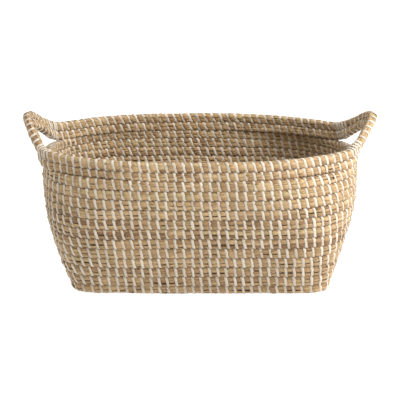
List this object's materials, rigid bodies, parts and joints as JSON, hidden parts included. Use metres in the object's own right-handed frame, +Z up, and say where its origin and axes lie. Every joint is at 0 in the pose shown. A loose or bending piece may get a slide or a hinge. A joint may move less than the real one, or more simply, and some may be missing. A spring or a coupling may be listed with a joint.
{
  "type": "seagrass storage basket",
  "caption": "Oblong coiled seagrass basket with a squarish base, flared oval mouth and a loop handle at each end formed by the two top courses.",
  "frame": {"origin": "on the floor, under the middle of the basket's length and depth", "axes": "+X along the basket's length from handle to handle, +Z up, through the open mouth"},
  "size_m": [0.4382, 0.2702, 0.2097],
  "materials": {
    "seagrass": "matte dry plant fibre, straw to tan with brown stems",
    "binding_strand": "matte off-white flat strand with a slight sheen"
  },
  "bodies": {
    "root": {"base_core": "seagrass", "base_turn_01": "seagrass", "base_turn_02": "seagrass", "base_turn_03": "seagrass", "base_turn_04": "seagrass", "base_turn_05": "seagrass", "wall_course_01": "seagrass", "wall_course_02": "seagrass", "wall_course_03": "seagrass", "wall_course_04": "seagrass", "wall_course_05": "seagrass", "wall_course_06": "seagrass", "wall_course_07": "seagrass", "wall_course_08": "seagrass", "wall_course_09": "seagrass", "wall_course_10": "seagrass", "wall_course_11": "seagrass", "wall_course_12": "seagrass", "rim_front_upper": "seagrass", "rim_back_upper": "seagrass", "handle_left_upper": "seagrass", "handle_right_upper": "seagrass", "rim_front_lower": "seagrass", "rim_back_lower": "seagrass", "handle_left_lower": "seagrass", "handle_right_lower": "seagrass"}
  },
  "joints": []
}
